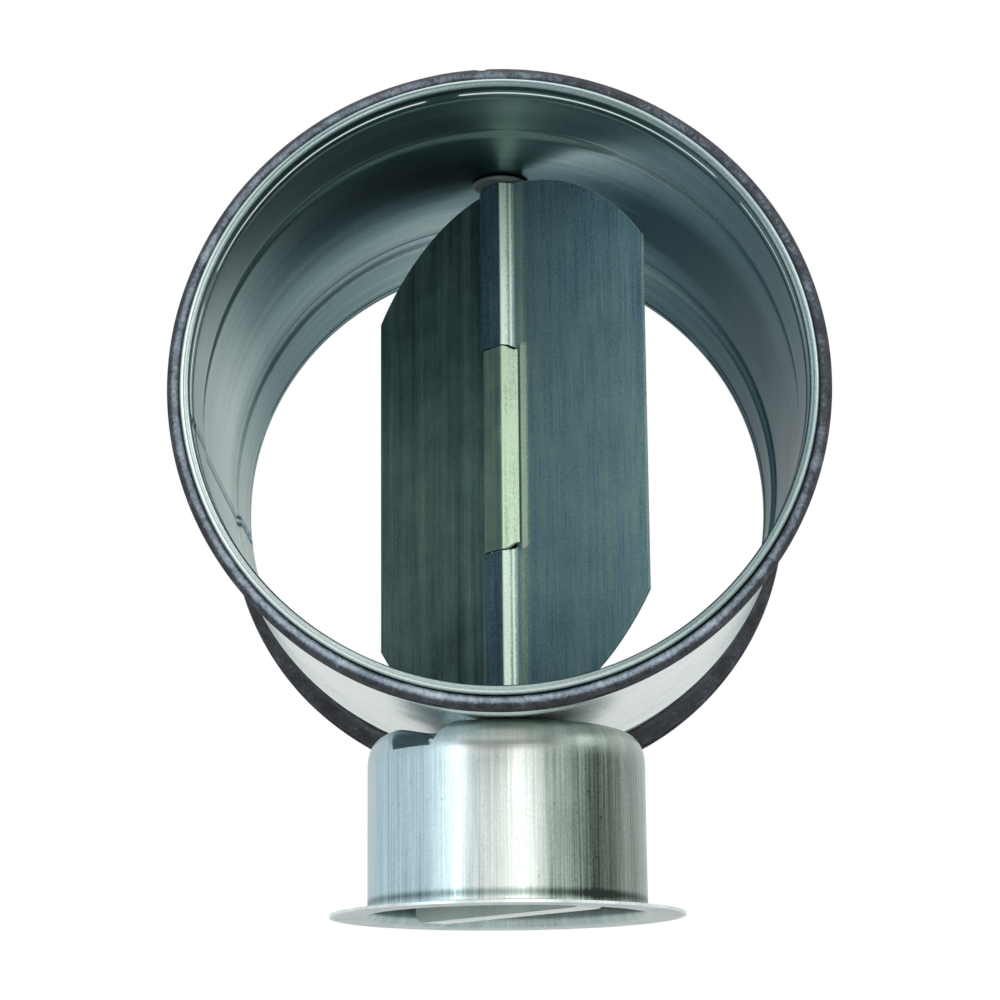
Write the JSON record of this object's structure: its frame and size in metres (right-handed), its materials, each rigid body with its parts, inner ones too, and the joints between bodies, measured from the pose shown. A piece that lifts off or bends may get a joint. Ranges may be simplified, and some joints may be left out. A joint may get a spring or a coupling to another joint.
{
  "type": "round volume control damper",
  "caption": "Round duct volume control damper: a short galvanised duct with rubber gaskets, a turning disc blade with flat sides, and a flanged insulation cup that holds its handle.",
  "frame": {"origin": "centre of the insulation cup's flange, on its outer face, where the spindle's axis meets it", "axes": "+Z along the spindle, from the cup's flange to the far side of the duct; Y along the duct, -Y at the end that the picture faces; +X to the right of it"},
  "size_m": [0.1696, 0.15, 0.2148],
  "materials": {
    "galvanised_sheet": "satin galvanised",
    "drawn_steel": "drawn galvanised",
    "zinc_plated_steel": "zinc plated",
    "rubber": "matte, dusted with talc",
    "nylon": "natural, slightly clear",
    "scale_film": "matte film"
  },
  "bodies": {
    "casing": {"duct_casing": "galvanised_sheet", "front_gasket": "rubber", "rear_gasket": "rubber", "insulation_cup": "drawn_steel", "cup_rivets": "zinc_plated_steel", "lower_bush": "nylon", "upper_bush": "nylon", "lower_shaft_seal": "rubber", "upper_shaft_seal": "rubber", "lower_retaining_ring": "zinc_plated_steel", "upper_retaining_ring": "zinc_plated_steel", "upper_bearing_cap": "nylon", "lock_stud": "zinc_plated_steel", "lock_washer": "zinc_plated_steel"},
    "blade": {"blade_half_right": "galvanised_sheet", "blade_half_left": "galvanised_sheet", "spindle": "zinc_plated_steel", "handle_plate": "zinc_plated_steel", "position_scale": "scale_film", "grip_strap": "zinc_plated_steel", "grip_rivets": "zinc_plated_steel", "spindle_spacer": "zinc_plated_steel", "spring_washer": "zinc_plated_steel", "spindle_nut": "zinc_plated_steel"},
    "lock_nut": {"wing_nut": "zinc_plated_steel"}
  },
  "joints": [
    {"name": "blade_turn", "type": "hinge", "parent": "casing", "child": "blade", "pos_m": [0, 0, 0.13], "axis": [0, 0, 1], "range_deg": [-42, 48]},
    {"name": "wing_nut_turn", "type": "hinge", "parent": "casing", "child": "lock_nut", "pos_m": [-0.01838, -0.01543, 0.036], "axis": [0, 0, -1], "range_deg": [0, 180]}
  ]
}
